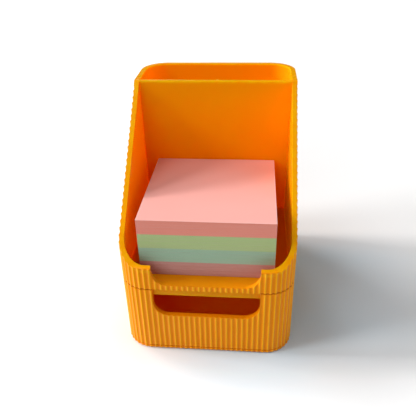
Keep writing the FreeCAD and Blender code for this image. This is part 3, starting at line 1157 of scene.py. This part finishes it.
def moulding(name: str, solid: Solid, node: str, body: str,
             finish: bpy.types.Material) -> bpy.types.Object:
    """Makes a moulded piece that stands for its CAD node.

    Args:
        name: the piece's name.
        solid: its shape, in mm.
        node: the CAD node that it replaces.
        body: the body that it rides on.
        finish: its material.

    Returns:
        The piece.
    """
    crease = 36.0
    piece = solid.object(name, MM)
    piece.data.shade_smooth()
    piece.data.set_sharp_from_angle(angle=math.radians(crease))
    weighted = piece.modifiers.new("normals", "WEIGHTED_NORMAL")
    weighted.keep_sharp = True
    dress(piece, finish)
    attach(piece, body)
    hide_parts(node)
    return piece


@dataclass
class BasePlate:
    """The fluted plate under the body, with its locating rim, runners and snap bars, in mm."""

    under: float = 0.7
    edge: float = 2.1
    land: float = 2.4
    rim_top: float = 7.4
    rim_inset: float = 3.3
    rim_wall: float = 1.4
    rim_start: float = -44.5
    inside_front: float = -59.9
    land_inset: float = 1.8
    wing_inset: float = 3.5
    edge_ease: float = 0.45
    rim_ease: float = 0.35
    overlap: float = 0.2
    runner_x: float = 30.0
    runner_half: float = 1.2
    runner_ends: Flat = (-53.9, 57.4)
    runner_top: float = 3.2
    snap_bar: Flat = (0.5, 10.0)
    foot_recess: Flat = (5.1, 1.3)

    def at_edge(self, a: Vector, b: Vector) -> bool:
        """True for the lower edge round the plate."""
        return max(a.z, b.z) < self.under + CLOSE

    def solid(self) -> Solid:
        """Carves the plate.

        Returns:
            The plate.
        """
        plate = Solid.prism(OUTLINE.plain(0.0), self.under, self.edge)
        plate.ease(self.at_edge, self.edge_ease, 3)
        plate.cut(Solid.sleeve(OUTLINE.fluted(), -BEYOND, self.edge + BEYOND))
        land = Solid.prism(OUTLINE.plain(self.land_inset), self.edge - 2 * self.overlap, self.land)
        land.share(Solid.slab(self.inside_front, CLEAR_Y))
        gap = Solid.slab(-CLEAR_Y, Housing.wing_start, self.edge)
        land.cut(gap.cut(Solid.prism(OUTLINE.plain(self.wing_inset), 0.0, CLEAR_Z)))
        rim = Solid.prism(OUTLINE.plain(self.rim_inset), self.land - self.overlap, self.rim_top)
        rim.ease(lambda a, b: min(a.z, b.z) > self.rim_top - CLOSE, self.rim_ease, 2)
        rim.cut(Solid.prism(OUTLINE.plain(self.rim_inset + self.rim_wall), 0.0, CLEAR_Z))
        rim.share(Solid.slab(self.rim_start, CLEAR_Y))
        levels = (self.land - self.overlap, self.runner_top)
        runners = [Solid.box(x - self.runner_half, x + self.runner_half, *self.runner_ends, *levels)
                   for x in (-self.runner_x, self.runner_x)]
        plate.join(land, rim, *runners, *snap_bars(*self.snap_bar))
        radius, height = self.foot_recess
        discs = [Solid.prism(circle(sx * Feet.x, sy * Feet.y, radius, Feet.sides), -BEYOND, height)
                 for sx in (-1, 1) for sy in (-1, 1)]
        return plate.cut(*discs)

    def build(self) -> list[bpy.types.Object]:
        """Builds and dresses the plate."""
        finish = MouldedPlastic("base_plastic").material()
        return [moulding("base_plate_moulding", self.solid(), "base_plate", "body", finish)]


@dataclass
class Drawer:
    """The drawer: a fluted front that wraps both corners, and the tray behind it, in mm."""

    bottom: float = 2.5
    top: float = 45.5
    wall: float = 3.1
    wing_end: float = -47.5
    notch_bottom: float = 26.9
    tray_low: float = 3.2
    tray_floor: float = 5.0
    tray_top: float = 43.8
    back_top: float = 36.1
    back_half: float = 33.8
    back_start: float = 55.9
    tray_inset: float = 5.2
    tray_wall: float = 1.8
    outer_ease: float = 0.75
    inner_ease: float = 0.4
    lug_across: Flat = (37.2, 43.0)
    lug_along: Flat = (20.3, 22.7)
    lug_bottom: float = 30.8

    def in_notch(self, a: Vector, b: Vector, inset: float) -> bool:
        """True for the notch's edges that lie on the outline at an inset.

        Args:
            a: one end of the edge.
            b: its other end.
            inset: the outline's distance in from the crests, in mm.

        Returns:
            Whether the edge is one of them.
        """
        on_line = max(abs(OUTLINE.inset_of(p.x, p.y) - inset) for p in (a, b)) < ON_LINE
        inside = max(abs(a.x), abs(b.x)) < NOTCH_HALF + CLOSE
        return on_line and inside and min(a.z, b.z) > self.bottom + CLOSE

    def at_top(self, a: Vector, b: Vector) -> bool:
        """True for the outer edge along the front's top and bottom.

        Args:
            a: one end of the edge.
            b: its other end.

        Returns:
            Whether the edge is one of them.
        """
        on_line = max(abs(OUTLINE.inset_of(p.x, p.y)) for p in (a, b)) < ON_LINE
        at_end = a.z > self.top - CLOSE or a.z < self.bottom + CLOSE
        return on_line and at_end and abs(a.z - b.z) < CLOSE

    def front(self) -> Solid:
        """Carves the front.

        Returns:
            The front.
        """
        front = Solid.prism(OUTLINE.plain(0.0), self.bottom, self.top)
        front.cut(Solid.prism(OUTLINE.plain(self.wall), 0.0, CLEAR_Z))
        front.share(Solid.slab(-CLEAR_Y, self.wing_end))
        front.cut(notch(self.notch_bottom))
        front.tidy()
        front.ease(lambda a, b: self.in_notch(a, b, 0.0) or self.at_top(a, b), self.outer_ease, 4)
        front.ease(lambda a, b: self.in_notch(a, b, self.wall), self.inner_ease, 3)
        return front.cut(Solid.sleeve(OUTLINE.fluted(), -BEYOND, CLEAR_Z))

    def plan(self, inset: float, front_inset: float, low: float, high: float) -> Solid:
        """Plan of the tray between two levels.

        Args:
            inset: its place from the crests at the sides and back.
            front_inset: the same at the front.
            low: bottom level.
            high: top level.

        Returns:
            The solid.
        """
        half = OUTLINE.width / 2 - inset
        ahead = Solid.box(-half, half, -CLEAR_Y, 0.0, low, high)
        ahead.share(Solid.prism(OUTLINE.plain(front_inset), low - BEYOND, high + BEYOND))
        return Solid.prism(OUTLINE.plain(inset), low, high).join(ahead).tidy()

    def tray(self) -> Solid:
        """Carves the tray.

        Returns:
            The tray.
        """
        into_front = self.wall - self.tray_wall / 2
        tray = self.plan(self.tray_inset, into_front, self.tray_low, self.tray_top)
        tray.cut(self.plan(self.tray_inset + self.tray_wall, self.wall, self.tray_floor, CLEAR_Z))
        half = self.back_half
        tray.cut(Solid.box(-half, half, self.back_start, CLEAR_Y, self.back_top, CLEAR_Z))
        for side in (-1, 1):
            across = sorted(side * x for x in self.lug_across)
            tray.join(Solid.box(*across, *self.lug_along, self.lug_bottom, self.tray_top))
        return tray.cut(notch(self.notch_bottom))

    def build(self) -> list[bpy.types.Object]:
        """Builds and dresses the drawer."""
        finish = MouldedPlastic("drawer_plastic").material()
        return [moulding("drawer_moulding", self.front().join(self.tray()), "drawer", "drawer", finish)]


@dataclass
class Feet:
    """The four foam feet, with their lower edges pressed round, in mm."""

    x: float = 34.2
    y: float = 47.9
    sides: int = 48
    weld: float = 0.001
    rings: tuple[Flat, ...] = ((0.0, 0.0), (4.2, 0.0), (4.72, 0.06), (4.93, 0.2), (5.0, 0.42),
                               (4.97, 0.62), (4.98, 1.3), (0.0, 1.3))

    def disc(self, sx: int, sy: int) -> Callable[[bmesh.types.BMesh], None]:
        """Mesh of one foot.

        Args:
            sx: side, -1 or 1.
            sy: end, -1 or 1.

        Returns:
            The function that fills a bmesh.
        """
        def fill(shape: bmesh.types.BMesh) -> None:
            """Turns the profile round its axis.

            Args:
                shape: the empty bmesh.
            """
            points = [shape.verts.new((r * MM, 0.0, z * MM)) for r, z in self.rings]
            edges = [shape.edges.new(pair) for pair in zip(points, points[1:])]
            bmesh.ops.spin(shape, geom=points + edges, cent=(0, 0, 0), axis=(0, 0, 1),
                           angle=2 * math.pi, steps=self.sides)
            bmesh.ops.remove_doubles(shape, verts=shape.verts, dist=self.weld * MM)
            bmesh.ops.recalc_face_normals(shape, faces=shape.faces)
            bmesh.ops.translate(shape, vec=(sx * self.x * MM, sy * self.y * MM, 0), verts=shape.verts)
        return fill

    def build(self) -> list[bpy.types.Object]:
        """Builds and dresses the feet.

        Returns:
            The four pieces.
        """
        finish = FoamFinish("foot_foam").material()
        made = []
        for sy, end in ((-1, "front"), (1, "back")):
            for sx, side in ((-1, "left"), (1, "right")):
                name = f"foot_{end}_{side}"
                piece = add_mesh(name.replace("foot", "foam_foot"), self.disc(sx, sy))
                piece.data.shade_smooth()
                dress(piece, finish)
                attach(piece, "body")
                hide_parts(name)
                made.append(piece)
        return made


@dataclass
class MemoStack:
    """Four memo pads, each a stack of loose sheets that don't lie quite true, in mm and radians."""

    half: float = 38.0
    middle: float = -15.1
    low: float = 48.9
    block_height: float = 9.07
    leaves: int = 44
    stray: float = 0.10
    turn: float = 0.0010
    seed: int = 11

    def leaf_corners(self, chance: random.Random) -> list[Flat]:
        """Corners of one sheet in plan, in mm, slightly moved and turned.

        Args:
            chance: the seeded source of chance.

        Returns:
            The four corners.
        """
        angle = chance.uniform(-self.turn, self.turn)
        half = self.half - self.stray / 2 - abs(angle) * self.half / 2
        dx = chance.uniform(-self.stray, self.stray) / 2
        dy = chance.uniform(-self.stray, self.stray) / 2
        corners = []
        for sx, sy in ((-1, -1), (1, -1), (1, 1), (-1, 1)):
            x = sx * half * math.cos(angle) - sy * half * math.sin(angle) + dx
            y = sx * half * math.sin(angle) + sy * half * math.cos(angle) + dy
            x, y = (max(-self.half, min(self.half, value)) for value in (x, y))
            corners.append((x, y + self.middle))
        return corners

    def block(self, level: int) -> Callable[[bmesh.types.BMesh], None]:
        """Mesh of one pad.

        Args:
            level: the pad's place, counted up from the floor.

        Returns:
            The function that fills a bmesh.
        """
        chance = random.Random(self.seed + level)
        bottom = self.low + level * self.block_height
        thickness = self.block_height / self.leaves

        def fill(shape: bmesh.types.BMesh) -> None:
            """Lays the sheets one on the other.

            Args:
                shape: the empty bmesh.
            """
            for number in range(self.leaves):
                z0 = (bottom + number * thickness) * MM
                z1 = (bottom + (number + 1) * thickness) * MM
                corners = self.leaf_corners(chance)
                low = [shape.verts.new((x * MM, y * MM, z0)) for x, y in corners]
                top = [shape.verts.new((x * MM, y * MM, z1)) for x, y in corners]
                shape.faces.new(low[::-1])
                shape.faces.new(top)
                for i in range(4):
                    j = (i + 1) % 4
                    shape.faces.new((low[i], low[j], top[j], top[i]))
        return fill

    def build(self) -> list[bpy.types.Object]:
        """Builds and dresses the pads.

        Returns:
            The four pieces.
        """
        made = []
        for level, paper in enumerate(PaperColour):
            word, face, edge = paper.value
            node = "memo_block_" + word
            piece = add_mesh("memo_sheets_" + word, self.block(level))
            dress(piece, PaperFinish("paper_" + word, face, edge).material())
            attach(piece, node)
            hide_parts(node)
            made.append(piece)
        return made


@dataclass(frozen=True)
class Panel:
    """A soft light panel far off: its direction and apparent size in degrees, and its level."""

    name: str
    azimuth: float
    elevation: float
    level: float
    spread: float

    def towards(self) -> Vector:
        """Direction from the object to the panel.

        Returns:
            The direction.
        """
        turn = math.radians(self.azimuth)
        rise = math.radians(self.elevation)
        return Vector((math.cos(turn) * math.cos(rise), math.sin(turn) * math.cos(rise), math.sin(rise)))


@dataclass
class Studio:
    """Camera, lamps, floor and world: lens and sensor in mm, angles in degrees, the rest in metres."""

    lamps: tuple[Panel, ...] = (
        Panel("left_low", 180.0, 16.0, 0.50, 6.0),
        Panel("left_mid", 174.0, 26.0, 0.24, 6.0),
        Panel("left_front", 198.0, 28.0, 0.33, 15.0),
        Panel("left_rear", 150.0, 40.0, 0.33, 26.0),
        Panel("left_rear_edge", 108.0, 40.0, 0.08, 14.0),
        Panel("left_high", 196.0, 62.0, 0.15, 26.0),
        Panel("front_fill", 250.0, 30.0, 0.17, 40.0),
        Panel("right_fill", 0.0, 35.0, 0.26, 60.0),
    )

    lens: float = 43.76
    place: Point = (0.02413, -0.27653, 0.23103)
    yaw: float = 5.751
    pitch: float = 31.383
    roll: float = -1.519
    sensor: float = 36.0
    sight: Flat = (0.01, 50.0)
    floor_half: float = 3.0

    def camera(self) -> None:
        """Puts the camera at the photograph's place and angle."""
        a, b, c = (math.radians(v) for v in (self.yaw, self.pitch, self.roll))
        ahead = Vector((-math.sin(a) * math.cos(b), math.cos(a) * math.cos(b), -math.sin(b)))
        right = Vector((math.cos(a), math.sin(a), 0.0))
        above = right.cross(ahead)
        across = math.cos(c) * right + math.sin(c) * above
        upward = -math.sin(c) * right + math.cos(c) * above
        data = bpy.data.cameras.new("photo_camera")
        data.sensor_width = self.sensor
        data.lens = self.lens
        data.clip_start, data.clip_end = self.sight
        camera = bpy.data.objects.new("photo_camera", data)
        turn = Matrix((across, upward, -ahead)).transposed().to_4x4()
        camera.matrix_world = Matrix.Translation(Vector(self.place)) @ turn
        bpy.context.scene.collection.objects.link(camera)
        bpy.context.scene.camera = camera

    def sun(self, panel: Panel) -> None:
        """Adds a distant lamp for a light panel.

        Args:
            panel: the panel.
        """
        data = bpy.data.lights.new(panel.name, "SUN")
        data.energy = panel.level * math.pi
        data.angle = math.radians(panel.spread)
        lamp = bpy.data.objects.new(panel.name, data)
        lamp.rotation_mode = "QUATERNION"
        lamp.rotation_quaternion = panel.towards().to_track_quat("Z", "Y")
        bpy.context.scene.collection.objects.link(lamp)

    def floor(self) -> None:
        """Lays the floor, level with the feet's undersides."""
        half = self.floor_half

        def fill(shape: bmesh.types.BMesh) -> None:
            """One wide face."""
            corners = ((-half, -half), (half, -half), (half, half), (-half, half))
            shape.faces.new([shape.verts.new((x, y, 0.0)) for x, y in corners])

        floor = add_mesh("studio_floor", fill)
        dress(floor, FloorFinish().material())

    def world(self) -> None:
        """Plain white surroundings, which the camera sees and which give no light."""
        world = bpy.data.worlds.new("studio_world")
        bpy.context.scene.world = world
        world.use_nodes = True
        graph = Graph(world.node_tree)
        seen = graph.node("ShaderNodeLightPath", out="Is Camera Ray")
        shader = graph.node("ShaderNodeBackground", inputs={"Color": (1.0, 1.0, 1.0, 1.0),
                                                            "Strength": seen})
        graph.node("ShaderNodeOutputWorld", inputs={"Surface": shader})

    def build(self) -> None:
        """Sets the studio up."""
        scene = bpy.context.scene
        scene.view_settings.view_transform = "Standard"
        self.camera()
        for lamp in self.lamps:
            self.sun(lamp)
        self.floor()
        self.world()


def main() -> None:
    """Builds the whole scene."""
    logging.basicConfig(level=logging.INFO, format="%(message)s")
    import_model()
    Studio().build()
    for part in (Housing(), BasePlate(), Drawer(), Feet(), MemoStack()):
        part.build()


if __name__ == "__main__":
    main()
